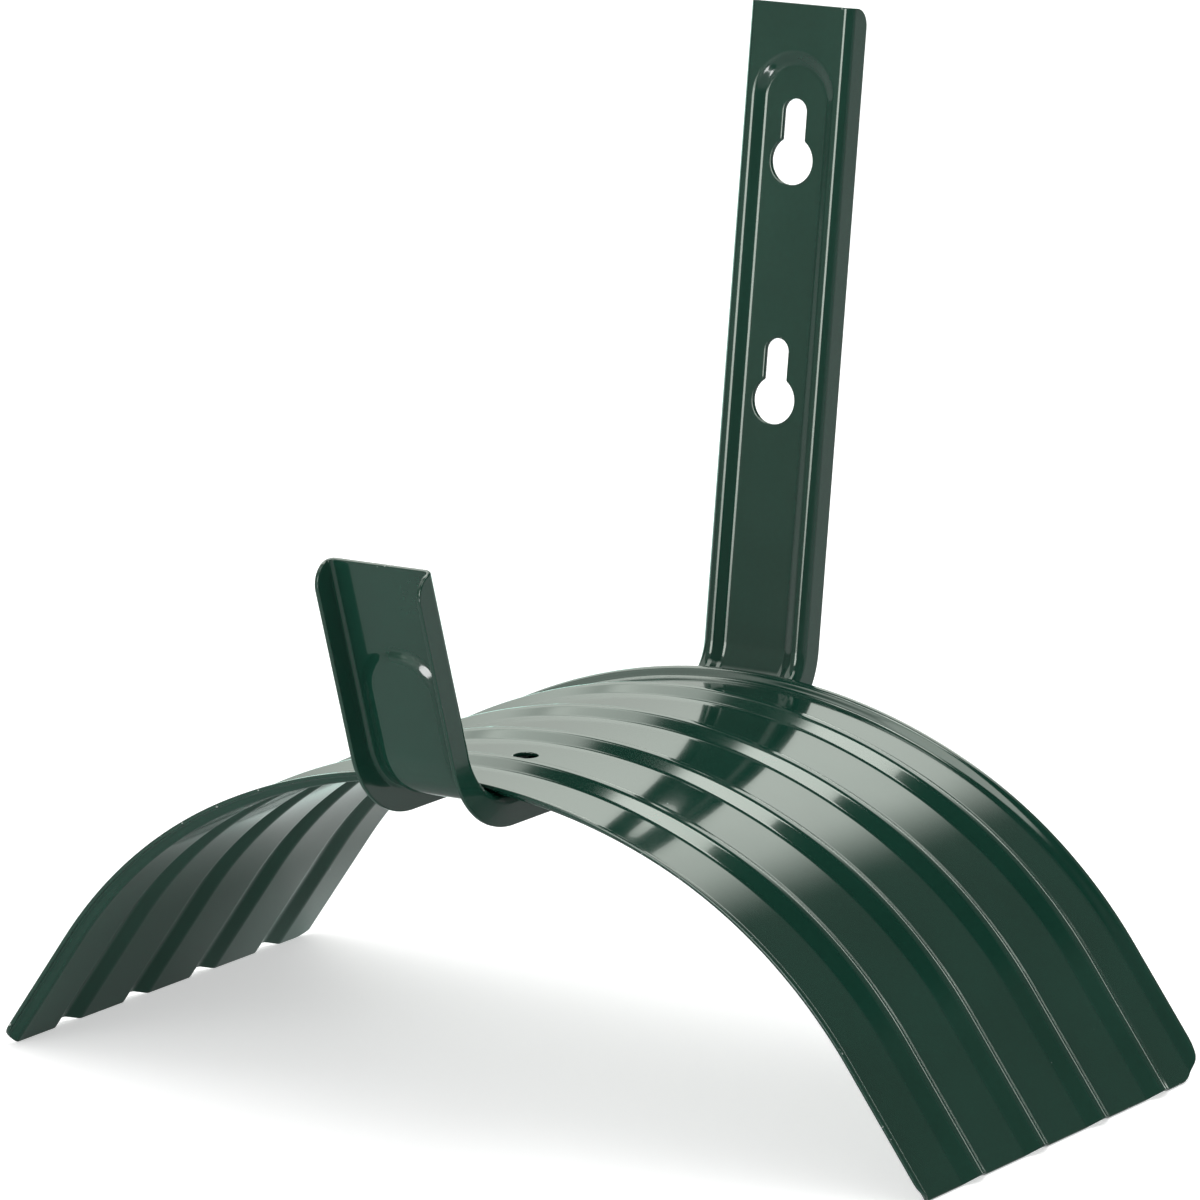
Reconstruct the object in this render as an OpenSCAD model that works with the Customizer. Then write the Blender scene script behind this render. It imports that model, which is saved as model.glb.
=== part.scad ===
// Wall hose hanger: a ribbed arched saddle carried by one bent channel strip,
// which is the wall plate, the arm under the saddle and the front hook in turn.
// Millimetres. +Z is up, +Y points into the wall and X = 0 is the middle of the part.
// The origin is the centre of the upper keyhole's round hole, on the face that the
// screw head bears on. The plate stands upright and the saddle slopes down to the front.

/* [Saddle sheet] */
// Depth of the saddle from its front edge to its rear edge
saddle_depth = 140; // [132:0.5:170]
// Thickness of the saddle sheet
saddle_t = 1; // [0.7:0.1:1.4]
// Outer radius of the crown arc
crown_r = 159.5; // [140:0.5:200]
// Angle of the crown arc from the middle to each shoulder
crown_angle = 26; // [15:0.1:32]
// Outer radius of each shoulder arc
shoulder_r = 130.5; // [100:0.5:138]
// Angle of each shoulder arc
shoulder_angle = 28.4; // [15:0.1:36]
// Length of the straight leg below each shoulder
leg_l = 37.7; // [25:0.1:60]
// Corner radius at the front ends of the legs
front_corner_r = 5; // [2:0.5:12]
// Corner radius at the rear ends of the legs
rear_corner_r = 10; // [3:0.5:20]
// Diameter of the pilot hole in the crown
pilot_d = 6.5; // [3:0.1:10]
// Distance of the pilot hole from the front edge
pilot_y = 37.3; // [35.5:0.1:47.5]

/* [Saddle ridges and rims] */
// Height of each ridge above the flat bands
ridge_h = 2.2; // [1:0.1:4]
// Number of ridges
ridge_count = 4; // [3:1:4]
// Distance from the front edge to the middle of the first ridge
ridge_first = 26.2; // [18:0.1:28.5]
// Distance from one ridge to the next
ridge_pitch = 30.3; // [22:0.1:34]
// Width of a ridge's crest between its two bends
ridge_top = 2.3; // [1.7:0.1:5]
// Width of each sloping side of a ridge
ridge_flank = 4.4; // [2.5:0.1:6]
// Height of the turned up rims above the flat bands
rim_h = 2.2; // [1:0.1:4]
// Width of the level strip along the front rim
front_rim_w = 1.8; // [1.5:0.1:5]
// Width of the level strip along the rear rim
rear_rim_w = 2; // [1.5:0.1:5]
// Width of the slope between a rim and its flat band
rim_flank = 2; // [1.7:0.1:4]
// Length of sheet over which each bend of the section is rounded
press_round = 1.5; // [0.6:0.1:1.6]

/* [Bracket strip] */
// Overall width of the channel strip
strip_w = 32; // [30:0.5:44]
// Thickness of the strip
strip_t = 1.2; // [0.8:0.1:1.6]
// Depth of the channel from its plain face to the free edges of its flanges
strip_depth = 8.2; // [7:0.1:12]
// Outer radius of the bend between web and flange
flange_r = 2.4; // [1.8:0.1:3]
// Depth of the long bead pressed towards the flanges
bead_depth = 1.4; // [0.5:0.1:2.5]
// Width of the bead's floor
bead_floor_w = 19; // [15:0.5:20]
// Width of the bead's mouth
bead_mouth_w = 24.7; // [21:0.1:25]

/* [Wall plate] */
// Height of the upper keyhole's round hole above the saddle's plane, along the plate
keyhole_rise = 136.5; // [120:0.1:180]
// Height of the plate's top above the upper keyhole's round hole
plate_top = 41.5; // [34:0.1:60]
// Distance from the plate's top down to the centre of the bead's round end
plate_bead_end = 25.2; // [18:0.1:30]
// Radius of the flange corners at the plate's top
plate_corner_r = 5; // [2:0.5:5.5]
// Diameter of the round hole of each keyhole
keyhole_d = 12.7; // [8:0.1:14]
// Width of the slot of each keyhole
keyhole_slot_w = 6.85; // [4:0.05:7.5]
// Height of the slot's top above the round hole's centre
keyhole_slot_top = 16.45; // [11:0.05:19]
// Distance between the two keyholes
keyhole_pitch = 63.5; // [40:0.5:80]

/* [Bends and hook] */
// Angle by which the saddle slopes down from the wall to the front
lean = 8.5; // [2:0.5:12]
// Inner radius of the bend between plate and arm
rear_bend_r = 11; // [8:0.5:12]
// Inner radius of the bend between arm and hook
front_bend_r = 18.8; // [12:0.1:20]
// Angle of the hook from square to the arm
hook_lean = 17.5; // [5:0.5:30]
// Distance from the saddle's front edge back to where the arm starts to bend up
front_bend_start = 7.9; // [5:0.1:8]
// Length of the hook from its root to its top
hook_l = 67; // [60:0.5:90]
// Distance from the hook's top down to the centre of the bead's round end
hook_bead_end = 36; // [22:0.5:40]
// Radius of the flange corners at the hook's top
hook_corner_r = 5.7; // [2:0.1:5.7]

/* [Seating and welds] */
// Clearance between the saddle and the flat edges of the arm
seat_gap = 0.3; // [0.2:0.05:0.6]
// Clearance between the saddle's rear corners and the wall plane
wall_gap = 0.1; // [0:0.05:1]
// Radius of each tack weld bead
weld_r = 1.8; // [1.3:0.1:2.4]
// Length of each tack weld bead, without its round ends
weld_l = 12; // [4:0.5:18]
// Clearance between a weld bead's model and the sheets that it joins
weld_gap = 0.05; // [0.02:0.01:0.1]

/* [Hidden] */
$fn = 96;
enamel = [0.07, 0.2, 0.15];
weld_enamel = [0.09, 0.24, 0.18];

// How far a cutting shape runs past the face that it leaves
past = 1;
// Each bend is swollen by this much all round, so that the runs that lap into it lie inside it
swell = 0.01;
// Length by which a run laps into the bend next to it
lap = 0.2;
// Number of steps that round a bend of the saddle's section
round_steps = 3;
leg_slope = crown_angle + shoulder_angle;
// The crown arc laps into the shoulder arcs
crown_reach = crown_angle + lap / crown_r * 180 / PI;
ridges_y = [for (i = [0 : ridge_count - 1]) ridge_first + i * ridge_pitch];
last_rim_y = saddle_depth - rear_rim_w;

// Centre of the right shoulder arc, as [x, z] in the saddle's own level frame
shoulder_c = [sin(crown_angle) * (crown_r - shoulder_r),
              cos(crown_angle) * (crown_r - shoulder_r) - crown_r];
// Start of the right leg's outer face
leg_start = shoulder_c + shoulder_r * [sin(leg_slope), cos(leg_slope)];

// Where the rear corners of the saddle start to round, which is what reaches the wall
reach_z = leg_start[1] - (leg_l - rear_corner_r) * sin(leg_slope) + (rim_h - saddle_t) * cos(leg_slope);
flange_edge_y = strip_depth - bead_depth;
// Distance from the saddle's front edge to the plate's keyhole face, in the saddle's level plane
plate_y = saddle_depth - (reach_z * sin(lean) + flange_edge_y - wall_gap) / cos(lean);

// The flat edges of the arm lie under the arch, so they sit lower by the arch's drop there
web_flat_x = strip_w / 2 - flange_r;
crown_inner_r = crown_r - saddle_t;
crown_drop = crown_inner_r - sqrt(pow(crown_inner_r, 2) - pow(web_flat_x, 2));
arm_drop = saddle_t + crown_drop + seat_gap;

// Runs and bends of the strip's plain face. A tangent is how far a bend starts before its corner
rear_turn = 90 - lean;
front_turn = 90 - hook_lean;
rear_tangent = rear_bend_r * tan(rear_turn / 2);
front_tangent = front_bend_r * tan(front_turn / 2);
rear_corner_z = -keyhole_rise - arm_drop / cos(lean) - bead_depth * tan(lean);
plate_l = plate_top - rear_corner_z - rear_tangent;
arm_straight = plate_y - (bead_depth + arm_drop * sin(lean)) / cos(lean) - rear_tangent - front_bend_start;
hook_straight = hook_l - front_tangent;

// Two tack welds on each side of the arm, under the flat bands next to the outer ridges
weld_bands_y = [ridge_first + ridge_pitch / 2, ridge_first + (ridge_count - 1.5) * ridge_pitch];

// A path's corners are rounded by curves that leave each corner by press_round / 2 both ways
function along(a, b, d) = a + (b - a) * d / norm(b - a);
function blend(a, c, b, u) = pow(1 - u, 2) * a + 2 * u * (1 - u) * c + pow(u, 2) * b;
function round_corner(a, c, b) = [for (i = [0 : round_steps])
    blend(along(c, a, press_round / 2), c, along(c, b, press_round / 2), i / round_steps)];
function rounded(p) = [p[0], for (i = [1 : len(p) - 2]) each round_corner(p[i - 1], p[i], p[i + 1]),
                       p[len(p) - 1]];

// The four bends of a ridge whose middle is at depth y
function ridge(y) = [[y - ridge_top / 2 - ridge_flank, 0], [y - ridge_top / 2, ridge_h],
                     [y + ridge_top / 2, ridge_h], [y + ridge_top / 2 + ridge_flank, 0]];

// The outer face of the saddle's section as [depth, height above the flat bands]
outer_face = rounded([[0, rim_h], [front_rim_w, rim_h], [front_rim_w + rim_flank, 0],
                      for (y = ridges_y) each ridge(y),
                      [last_rim_y - rim_flank, 0], [last_rim_y, rim_h], [saddle_depth, rim_h]]);
inner_face = [for (i = [len(outer_face) - 1 : -1 : 0]) outer_face[i] - [0, saddle_t]];

// The sheet's section with its height along X and its depth along Y, at distance r from an
// arc's centre and grown by g all round
module saddle_section(r, g) {
    polygon([for (p = outer_face) [r + p[1] + g, p[0] + g * (2 * p[0] / saddle_depth - 1)],
             for (p = inner_face) [r + p[1] - g, p[0] + g * (2 * p[0] / saddle_depth - 1)]]);
}

// The sheet swept over an arc about the point c = [x, z], from angle a0 to a1 off the top
module saddle_arc(c, r, a0, a1, g) {
    translate([c[0], 0, c[1]])
        rotate([-90, 0, 0])
        rotate([0, 0, a0 - 90])
        rotate_extrude(angle = a1 - a0, $fn = 180)
        saddle_section(r, g);
}

// Local frame of the left leg, at the centre of its shoulder arc: X is outward through
// the leg's start, Y is depth and Z runs down the leg
module on_left_leg() {
    translate([-shoulder_c[0], 0, shoulder_c[1]])
        rotate([0, -90 - leg_slope, 0])
        children();
}

// What a rounded leg corner of radius r loses, with the corner at the origin and +Y into the sheet
module corner_waste(r) {
    difference() {
        translate([-past - saddle_t, -past, -r])
            cube([rim_h + saddle_t + 2 * past, r + past, r + past]);
        translate([-2 * past - saddle_t, r, -r])
            rotate([0, 90, 0])
            cylinder(r = r, h = rim_h + saddle_t + 4 * past);
    }
}

module saddle_leg() {
    on_left_leg() {
        difference() {
            translate([0, 0, -lap]) linear_extrude(leg_l + lap) saddle_section(shoulder_r, 0);
            translate([shoulder_r, 0, leg_l]) corner_waste(front_corner_r);
            translate([shoulder_r, saddle_depth, leg_l]) mirror([0, 1, 0]) corner_waste(rear_corner_r);
        }
    }
}

// Puts what is drawn in the saddle's own level frame into the part's frame
module at_slope() {
    translate([0, -plate_y * cos(lean), -keyhole_rise - plate_y * sin(lean)])
        rotate([lean, 0, 0])
        children();
}

module saddle() {
    color(enamel)
        at_slope()
        difference() {
            union() {
                saddle_arc([0, -crown_r], crown_r, -crown_reach, crown_reach, 0);
                for (side = [0, 1])
                    mirror([side, 0, 0]) {
                        saddle_arc([-shoulder_c[0], shoulder_c[1]], shoulder_r, -leg_slope, -crown_angle, swell);
                        saddle_leg();
                    }
            }
            translate([0, pilot_y, -saddle_t - past])
                cylinder(d = pilot_d, h = saddle_t + ridge_h + 2 * past);
        }
}

// A flat-topped U of half width hw and top radius r, open from y = top down to y = bottom
module u_shape(hw, r, top, bottom) {
    translate([-hw + r, top]) square([2 * (hw - r), bottom - top]);
    translate([-hw, top + r]) square([2 * hw, bottom - top - r]);
    for (side = [-1, 1])
        translate([side * (hw - r), top + r]) circle(r = r, $fn = 48);
}

// Section of the plain channel, with X across and Y from the plain face to the flange edges.
// This section and the next two take $grow from the run or bend that carries them
module channel_section() {
    g = $grow;
    difference() {
        u_shape(strip_w / 2 + g, flange_r + g, -g, strip_depth + g);
        u_shape(strip_w / 2 - strip_t - g, flange_r - strip_t - g, strip_t + g, strip_depth + past);
    }
}

// Section of the metal that the bead adds on the flange side
module bead_rise_section() {
    mouth = bead_mouth_w / 2 + $grow;
    floor_hw = bead_floor_w / 2 + $grow;
    foot = strip_t + $grow;
    polygon([[-mouth, strip_t / 2], [mouth, strip_t / 2], [mouth, foot],
             [floor_hw, foot + bead_depth], [-floor_hw, foot + bead_depth], [-mouth, foot]]);
}

// Section of what the bead takes away on the plain side
module bead_waste_section() {
    mouth = bead_mouth_w / 2 - $grow;
    floor_hw = bead_floor_w / 2 - $grow;
    polygon([[-mouth, -past], [mouth, -past], [mouth, -$grow],
             [floor_hw, bead_depth - $grow], [-floor_hw, bead_depth - $grow], [-mouth, -$grow]]);
}

// Frame at the plate's top: Z runs down the strip and Y points to its flanges
module at_plate_top() {
    translate([0, -bead_depth, plate_top])
        rotate([0, 180, 0])
        children();
}

// A straight run of the strip that laps the bends before and after it by lap0 and lap1:
// its section, and then what goes on from its end
module run(l, lap0, lap1) {
    translate([0, 0, -lap0]) linear_extrude(l + lap0 + lap1) let($grow = 0) children(0);
    translate([0, 0, l]) children(1);
}

// A bend of the strip, with its centre at distance r on the plain side: its section, and
// then what goes on from its end
module bend(r, turn) {
    translate([0, -r, 0]) {
        rotate([0, 90, 0])
            rotate([0, 0, 90])
            rotate_extrude(angle = turn, $fn = 180)
            translate([r, 0])
            mirror([1, -1, 0])
            let($grow = swell) children(0);
        rotate([turn, 0, 0])
            translate([0, r, 0])
            children(1);
    }
}

// A section carried down the plate, along the arm and up the hook, left off by top_off and tip_off
module along_strip(top_off, tip_off) {
    at_plate_top()
        translate([0, 0, top_off])
        run(plate_l - top_off, 0, lap) {
            children();
            bend(rear_bend_r, rear_turn) {
                children();
                run(arm_straight, lap, lap) {
                    children();
                    bend(front_bend_r, front_turn) {
                        children();
                        run(hook_straight - tip_off, lap, 0) {
                            children();
                            union() {}
                        }
                    }
                }
            }
        }
}

// Frame on the hook's face where the front bend ends: Z runs up the hook and Y points to its flanges
module at_hook_start() {
    at_plate_top()
        run(plate_l, 0, 0) {
            union() {}
            bend(rear_bend_r, rear_turn) {
                union() {}
                run(arm_straight, 0, 0) {
                    union() {}
                    bend(front_bend_r, front_turn) {
                        union() {}
                        children();
                    }
                }
            }
        }
}

// Centres of the bead's round ends on the plate and on the hook
module at_bead_ends() {
    at_plate_top() translate([0, 0, plate_bead_end]) children();
    at_hook_start() translate([0, 0, hook_straight - hook_bead_end]) children();
}

// A round bead end: a cone frustum from the mouth's width to the floor's, starting at depth d
module bead_end(d) {
    translate([0, d, 0])
        rotate([-90, 0, 0])
        cylinder(d1 = bead_mouth_w, d2 = bead_floor_w, h = bead_depth);
}

// A round flange corner of radius r at the strip's end, with Z running off the end
module flange_corner_waste(r) {
    difference() {
        translate([-strip_w / 2 - past, strip_depth - r, -r])
            cube([strip_w + 2 * past, r + past, r + past]);
        translate([-strip_w / 2 - 2 * past, strip_depth - r, -r])
            rotate([0, 90, 0])
            cylinder(r = r, h = strip_w + 4 * past);
    }
}

// A keyhole through the bead's floor, with its round hole at the origin and its slot above
module keyhole_waste() {
    rotate([-90, 0, 0]) {
        translate([0, 0, -past]) cylinder(d = keyhole_d, h = strip_t + 2 * past);
        translate([0, keyhole_slot_w / 2 - keyhole_slot_top, -past])
            cylinder(d = keyhole_slot_w, h = strip_t + 2 * past);
        translate([-keyhole_slot_w / 2, keyhole_slot_w / 2 - keyhole_slot_top, -past])
            cube([keyhole_slot_w, keyhole_slot_top - keyhole_slot_w / 2, strip_t + 2 * past]);
    }
}

module bracket() {
    color(enamel)
        difference() {
            union() {
                along_strip(0, 0) channel_section();
                along_strip(plate_bead_end, hook_bead_end) bead_rise_section();
                at_bead_ends() {
                    bead_end(strip_t);
                    translate([0, strip_t / 2, 0])
                        rotate([-90, 0, 0])
                        cylinder(d = bead_mouth_w, h = strip_t / 2);
                }
            }
            along_strip(plate_bead_end, hook_bead_end) bead_waste_section();
            at_bead_ends() {
                bead_end(0);
                translate([0, -past, 0])
                    rotate([-90, 0, 0])
                    cylinder(d = bead_mouth_w, h = past);
            }
            at_plate_top() mirror([0, 0, 1]) flange_corner_waste(plate_corner_r);
            at_hook_start() translate([0, 0, hook_straight]) flange_corner_waste(hook_corner_r);
            keyhole_waste();
            translate([0, 0, -keyhole_pitch]) keyhole_waste();
        }
}

// A tack weld fills the groove between the arm's bend and the saddle above it
module tack_welds() {
    color(weld_enamel)
        at_slope()
        difference() {
            for (side = [-1, 1], y = weld_bands_y)
                translate([side * (strip_w / 2), y, -arm_drop])
                rotate([-90, 0, 0]) {
                    translate([0, 0, -weld_l / 2]) cylinder(r = weld_r, h = weld_l);
                    for (end = [-1, 1])
                        translate([0, 0, end * weld_l / 2]) sphere(r = weld_r);
                }
            translate([0, -past, -crown_r])
                rotate([-90, 0, 0])
                difference() {
                    cylinder(r = crown_r + 2 * weld_r, h = saddle_depth + 2 * past);
                    translate([0, 0, -past])
                        cylinder(r = crown_inner_r - weld_gap, h = saddle_depth + 4 * past, $fn = 360);
                }
            translate([0, -past, -arm_drop])
                rotate([-90, 0, 0])
                linear_extrude(saddle_depth + 2 * past)
                u_shape(strip_w / 2 + weld_gap, flange_r + weld_gap, -weld_gap, strip_depth);
        }
}

saddle();
bracket();
tack_welds();
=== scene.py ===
"""The looks of a wall hose hanger: a ribbed saddle sheet and a bent channel strip in green gloss enamel.

Lengths in the classes are millimetres and angles are degrees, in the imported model's frame: +Z is up, +Y
points into the wall and X = 0 is the middle of the part. Meshes are written in metres.
"""

import logging
import math
from dataclasses import dataclass, field
from enum import Enum
from typing import Callable

import bpy
import numpy as np
from mathutils import Matrix, Vector


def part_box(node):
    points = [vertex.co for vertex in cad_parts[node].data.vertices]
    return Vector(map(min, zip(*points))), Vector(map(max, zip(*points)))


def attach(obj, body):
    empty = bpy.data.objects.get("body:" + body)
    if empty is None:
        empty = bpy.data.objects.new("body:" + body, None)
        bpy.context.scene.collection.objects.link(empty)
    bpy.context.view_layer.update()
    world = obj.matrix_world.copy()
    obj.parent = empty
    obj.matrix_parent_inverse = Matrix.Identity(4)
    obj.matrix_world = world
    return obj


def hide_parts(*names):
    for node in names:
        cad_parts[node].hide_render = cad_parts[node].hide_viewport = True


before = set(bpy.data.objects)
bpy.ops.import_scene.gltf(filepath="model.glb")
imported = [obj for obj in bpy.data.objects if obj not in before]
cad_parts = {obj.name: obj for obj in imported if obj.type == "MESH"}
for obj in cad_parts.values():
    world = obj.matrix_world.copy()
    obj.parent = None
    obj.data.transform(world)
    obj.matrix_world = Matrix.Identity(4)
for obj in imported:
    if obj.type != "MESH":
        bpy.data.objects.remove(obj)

LOG = logging.getLogger("hose_hanger")
MM = 0.001
Array = np.ndarray
Socket = bpy.types.NodeSocket
Triple = tuple[float, float, float]
# Radius of a rounded cut edge
EDGE_R = 0.3
# How far the extra lines of a pattern lie from its cut ends
END_STEPS = np.array([0.3, 0.8, 1.6])


class Side(Enum):
    """The two sides of the part, each with its sign along X."""

    LEFT = -1
    RIGHT = 1


def soft_ramp(d: Array, width: float) -> Array:
    """A ramp with a rounded corner: nothing before it, the distance past it after, and a parabola between.

    Args:
        d: Signed distance past the corner.
        width: Length over which the corner is rounded.

    Returns:
        The height of the ramp at each distance.
    """
    c = np.clip(d + width / 2, 0, width)
    return c**2 / (2 * width) + np.maximum(d - width / 2, 0)


def spaced(start: float, end: float, step: float) -> Array:
    """Evenly spaced lines from start to end, no more than a step apart."""
    return np.linspace(start, end, max(2, math.ceil((end - start) / step) + 1))


def round_bend_lines(centres: Array, half: float) -> Array:
    """Lines that follow rounded bends: seven across each, and a guard line just past it on either side.

    Args:
        centres: Where the bends are.
        half: Half the length over which a bend is rounded.

    Returns:
        The lines of all the bends.
    """
    across = half * np.array([-1.2, -1, -0.7, -0.35, 0, 0.35, 0.7, 1, 1.2])
    return (np.asarray(centres)[:, None] + across).ravel()


def merged(lines: list[Array], low: float, high: float, gap: float = 0.05) -> Array:
    """Sorted lines from several sets, with those that crowd an earlier line left out.

    Args:
        lines: The sets, the ones that matter most first.
        low: First line kept.
        high: Last line kept.
        gap: Least distance between two lines.

    Returns:
        The lines from low to high.
    """
    kept = np.array([low, high])
    for some in lines:
        inside = np.sort(some[(some > low) & (some < high)])
        inside = inside[np.diff(inside, prepend=-1e9) > gap]
        far = np.abs(inside[:, None] - kept).min(1) > gap
        kept = np.sort(np.concatenate([kept, inside[far]]))
    return kept


def outward(points: Array, quads: Array) -> Array:
    """Turns a closed surface's faces outwards, by the sign of the volume that they enclose.

    Args:
        points: Vertices, one row each.
        quads: Vertex numbers of each face, in order round it.

    Returns:
        The faces as they are, or all turned round.
    """
    a, b, c, d = (points[quads[:, k]] for k in range(4))
    volume = (np.cross(a, b) * c).sum() + (np.cross(a, c) * d).sum()
    return quads if volume > 0 else quads[:, ::-1]


def new_mesh(name: str, points: Array, quads: Array, edge: Array) -> bpy.types.Object:
    """Puts a surface of quads into a new object at the origin.

    Args:
        name: Name of the piece.
        points: Vertices in millimetres, one row each.
        quads: Vertex numbers of each face, in order round its outer side.
        edge: How near each vertex is to a cut edge, from 0 to 1.

    Returns:
        The new object.
    """
    mesh = bpy.data.meshes.new(name)
    mesh.vertices.add(len(points))
    mesh.vertices.foreach_set("co", (points * MM).astype(np.float32).ravel())
    mesh.loops.add(quads.size)
    mesh.loops.foreach_set("vertex_index", quads.astype(np.int32).ravel())
    mesh.polygons.add(len(quads))
    mesh.polygons.foreach_set("loop_start", np.arange(0, quads.size, 4, dtype=np.int32))
    mesh.polygons.foreach_set("use_smooth", np.ones(len(quads), bool))
    layer = mesh.attributes.new("edge", "FLOAT", "POINT")
    layer.data.foreach_set("value", edge.astype(np.float32))
    mesh.update(calc_edges=True)
    mesh.validate()
    piece = bpy.data.objects.new(name, mesh)
    bpy.context.scene.collection.objects.link(piece)
    LOG.info("%s: %d points, %d faces", name, len(points), len(quads))
    return piece


@dataclass
class Hole:
    """A hole through a sheet, in the sheet's flat pattern."""

    # The block of the pattern that is rebuilt round the hole: along from, to, across from, to
    block: tuple[float, float, float, float]
    # The outline as dense points [along, across], from the middle of the block's far end
    outline: Array

    def points_at(self, share: Array, grow: float) -> Array:
        """Points of the outline, set back into the sheet.

        Args:
            share: Share of the outline's length at which each point lies.
            grow: Distance by which the outline is set back into the sheet.

        Returns:
            One row [along, across] for each share.
        """
        ring = np.vstack([self.outline, self.outline[:1]])
        length = np.concatenate([[0], np.cumsum(np.linalg.norm(np.diff(ring, axis=0), axis=1))])

        def on(where: Array) -> Array:
            """Points of the outline at those shares of its length."""
            at = (where % 1) * length[-1]
            return np.stack([np.interp(at, length, ring[:, k]) for k in range(2)], 1)

        little = 0.004
        way = on(share + little) - on(share - little)
        way /= np.linalg.norm(way, axis=1)[:, None]
        sign = np.sign(np.cross(self.outline - self.outline.mean(0), np.roll(self.outline, -1, 0)
                                - self.outline).sum())
        return on(share) + grow * sign * np.stack([way[:, 1], -way[:, 0]], 1)


@dataclass
class Sheet:
    """A closed sheet of metal: a flat pattern with round corners and holes, carried onto a bent form.

    The grid of the pattern is a function of two parameters, the distance along and the distance across.
    Its ends are drawn in by the corner arcs. The same grid is placed twice, on the outer and on the
    inner face, and rings that follow a rounded cut edge join the two.
    """

    place: Callable[[Array, Array, Array], Array]
    along: Array
    across: Array
    thickness: float
    corner_r: Array
    holes: list[Hole]
    edge_r: float = EDGE_R
    # Reach of a cut edge's wear, and the width over which it fades round a hole
    wear_reach: float = 0.8
    hole_fade: float = 3
    # Reach over which round corners squeeze the lines along, in corner radii
    squeeze: float = 2.5

    def grid(self, inset: float) -> tuple[Array, Array]:
        """The pattern's grid when its outline is drawn in by inset.

        The lines across are squeezed into the corners in proportion. The ends follow a circle of the
        corner's radius less the inset, and the lines along near an end are squeezed to meet it.

        Args:
            inset: Distance by which the outline is drawn in, at most the edge radius.

        Returns:
            The distances along and across of every crossing.
        """
        low, high = self.across[0] - self.edge_r, self.across[-1] + self.edge_r
        width = self.across.copy()
        for k, (edge, way) in enumerate(((low, 1), (high, -1))):
            r = self.corner_r[:, k].max()
            e = (self.across - edge) * way
            drawn = r - (r - e) * (r - inset) / (r - self.edge_r)
            width = np.where(e < r, edge + way * drawn, width)
        length = np.repeat(self.along[:, None], len(width), 1)
        ends = ((self.along[0] - self.edge_r, 1), (self.along[-1] + self.edge_r, -1))
        for k, (end, way) in enumerate(ends):
            cut = np.full(len(width), inset)
            for j, e in enumerate((width - low, high - width)):
                r = self.corner_r[k, j]
                arc = r - np.sqrt(np.maximum((r - inset) ** 2 - (r - e) ** 2, 0))
                cut = np.where(e < r, arc, cut)
            zone = self.squeeze * self.corner_r[k].max()
            e = (length - end) * way
            squeezed = zone - (zone - e) * (zone - cut) / (zone - self.edge_r)
            length = np.where(e < zone, end + way * squeezed, length)
        return length, np.broadcast_to(width, length.shape)

    def rim(self) -> tuple[Array, Array]:
        """How a cut edge is rounded: by a quarter circle off the outer face, and its mirror image.

        Returns:
            The insets and the depths of the rings that follow it, from the outer face to the inner.
        """
        turn = np.radians([0, 22.5, 45, 67.5, 90])
        inset = self.edge_r * (1 - np.sin(turn))
        depth = self.edge_r * (1 - np.cos(turn))
        return np.concatenate([inset, inset[::-1]]), np.concatenate([depth, self.thickness - depth[::-1]])

    def build(self, name: str) -> bpy.types.Object:
        """Builds the sheet's mesh.

        Args:
            name: Name of the piece.

        Returns:
            The new object.
        """
        length, width = self.grid(self.edge_r)
        n, m = length.shape
        ids = np.arange(n * m).reshape(n, m)
        zero = np.zeros_like(length)
        points = [self.place(length, width, zero), self.place(length, width, zero + self.thickness)]
        ends = np.minimum(length - self.along[0], self.along[-1] - length)
        sides = np.minimum(width - self.across[0], self.across[-1] - width)
        near = np.exp(-np.maximum(np.minimum(ends, sides), 0) / self.wear_reach)
        worn = [near.ravel(), near.ravel()]
        count = 2 * n * m
        shown = np.ones((n - 1, m - 1), bool)
        faces = []
        insets, depths = self.rim()

        def join(loops: list[Array]) -> None:
            """Fills the space between each loop and the next with faces.

            Args:
                loops: Vertex numbers of each loop.
            """
            for one, two in zip(loops[:-1], loops[1:]):
                faces.append(np.stack([one, np.roll(one, -1), np.roll(two, -1), two], 1))

        def add(rings: list[Array], wear: Array) -> list[Array]:
            """Adds rings of points.

            Args:
                rings: Points of each ring.
                wear: How near each ring is to a cut edge, from 0 to 1.

            Returns:
                Vertex numbers of each ring.
            """
            nonlocal count
            made = []
            for ring, value in zip(rings, wear):
                made.append(np.arange(count, count + len(ring)))
                points.append(ring)
                worn.append(np.full(len(ring), value))
                count += len(ring)
            return made

        round_edge = np.concatenate([ids[:-1, 0], ids[-1, :-1], ids[:0:-1, -1], ids[0, :0:-1]])
        rings = []
        for inset, depth in zip(insets[1:-1], depths[1:-1]):
            a, w = (g.ravel()[round_edge] for g in self.grid(inset))
            rings.append(self.place(a, w, np.full_like(a, depth)))
        loops = [round_edge, *add(rings, np.ones(len(rings))), round_edge + n * m]
        join([loop[::-1] for loop in loops])

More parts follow.
